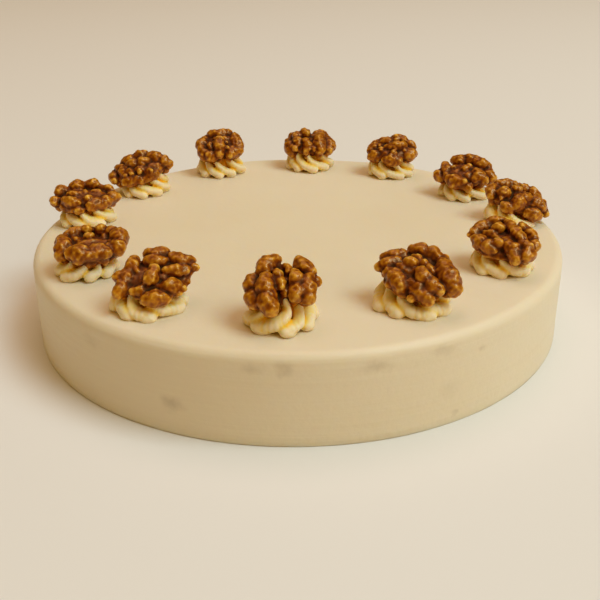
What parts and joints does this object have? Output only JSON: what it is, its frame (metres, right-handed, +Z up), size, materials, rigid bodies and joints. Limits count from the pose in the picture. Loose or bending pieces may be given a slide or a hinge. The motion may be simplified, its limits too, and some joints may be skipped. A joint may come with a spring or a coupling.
{
  "type": "carrot cake",
  "caption": "Round frosted carrot cake with a ring of piped rosettes round its top, each one topped by a glazed walnut half.",
  "frame": {"origin": "middle of the cake's flat underside", "axes": "+Z up along the cake's axis, +Y to the far side as first seen, +X to the right"},
  "size_m": [0.2286, 0.2286, 0.0592],
  "materials": {
    "frosting": "smooth spread cream cheese frosting, ivory, satin",
    "piped_cream": "piped cream cheese frosting, ivory, satin",
    "glazed_walnut": "sugar glazed walnut, amber brown with dark creases, glossy"
  },
  "bodies": {
    "root": {"frosted_cake": "frosting", "rosette_01": "piped_cream", "rosette_02": "piped_cream", "rosette_03": "piped_cream", "rosette_04": "piped_cream", "rosette_05": "piped_cream", "rosette_06": "piped_cream", "rosette_07": "piped_cream", "rosette_08": "piped_cream", "rosette_09": "piped_cream", "rosette_10": "piped_cream", "rosette_11": "piped_cream", "rosette_12": "piped_cream", "walnut_01": "glazed_walnut", "walnut_02": "glazed_walnut", "walnut_03": "glazed_walnut", "walnut_04": "glazed_walnut", "walnut_05": "glazed_walnut", "walnut_06": "glazed_walnut", "walnut_07": "glazed_walnut", "walnut_08": "glazed_walnut", "walnut_09": "glazed_walnut", "walnut_10": "glazed_walnut", "walnut_11": "glazed_walnut", "walnut_12": "glazed_walnut"}
  },
  "joints": []
}
